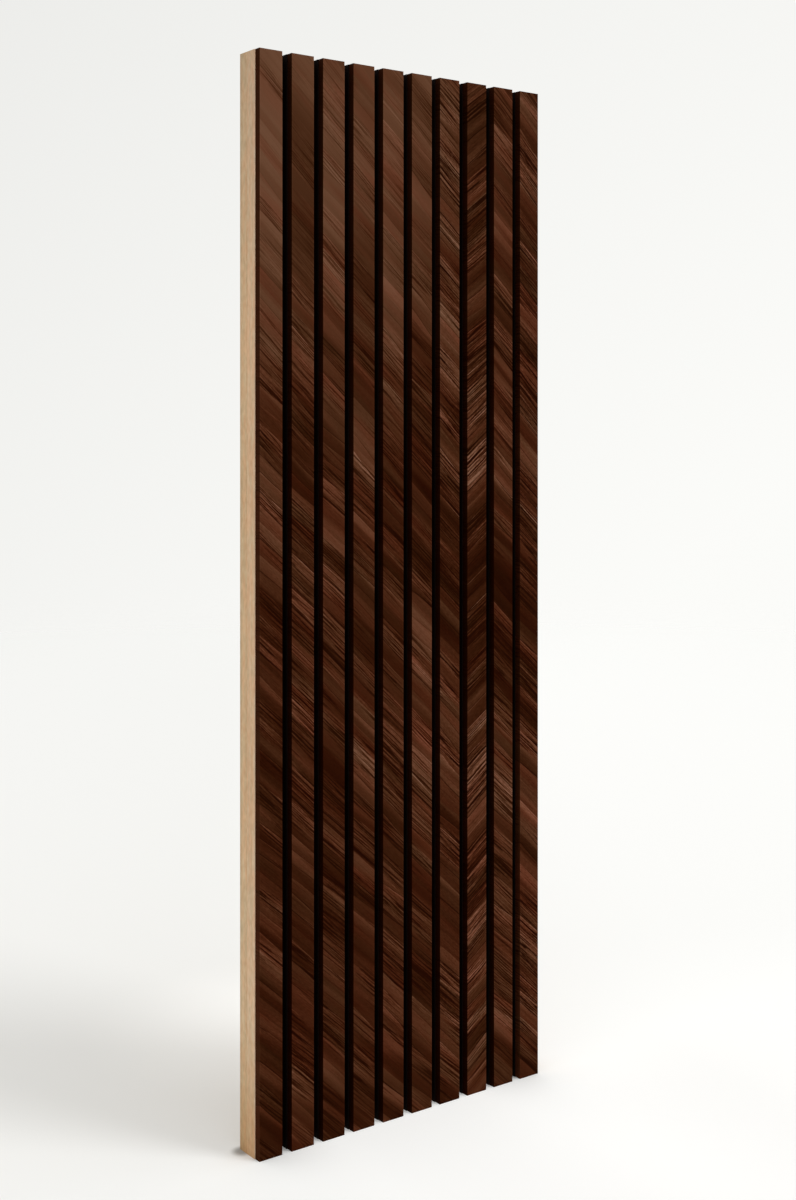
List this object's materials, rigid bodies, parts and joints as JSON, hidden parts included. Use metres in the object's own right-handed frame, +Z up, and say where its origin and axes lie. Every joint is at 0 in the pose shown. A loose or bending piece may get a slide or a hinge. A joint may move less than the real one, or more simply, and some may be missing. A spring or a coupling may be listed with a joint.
{
  "type": "slat wall panel",
  "caption": "Upright rectangular wall panel: dark figured wood slats with deep black grooves between them, on pale battens and a pale wood backing board.",
  "frame": {"origin": "middle of the bottom end, at the panel's mid depth", "axes": "+X to the right as seen from the front, +Y from the slats towards the wall behind, +Z up"},
  "size_m": [0.4, 0.04, 1.2],
  "materials": {
    "pale_board": "planed, unfinished pale wood",
    "pale_batten": "planed, unfinished pale wood, stained black inside the grooves",
    "dark_walnut": "dark brown figured walnut, satin oil",
    "zinc_steel": "zinc plated"
  },
  "bodies": {
    "root": {"backing_board": "pale_board", "batten_01": "pale_batten", "batten_02": "pale_batten", "batten_03": "pale_batten", "batten_04": "pale_batten", "batten_05": "pale_batten", "batten_06": "pale_batten", "batten_07": "pale_batten", "batten_08": "pale_batten", "batten_09": "pale_batten", "batten_10": "pale_batten", "facing_01": "dark_walnut", "facing_02": "dark_walnut", "facing_03": "dark_walnut", "facing_04": "dark_walnut", "facing_05": "dark_walnut", "facing_06": "dark_walnut", "facing_07": "dark_walnut", "facing_08": "dark_walnut", "facing_09": "dark_walnut", "facing_10": "dark_walnut", "rear_staples": "zinc_steel"}
  },
  "joints": []
}
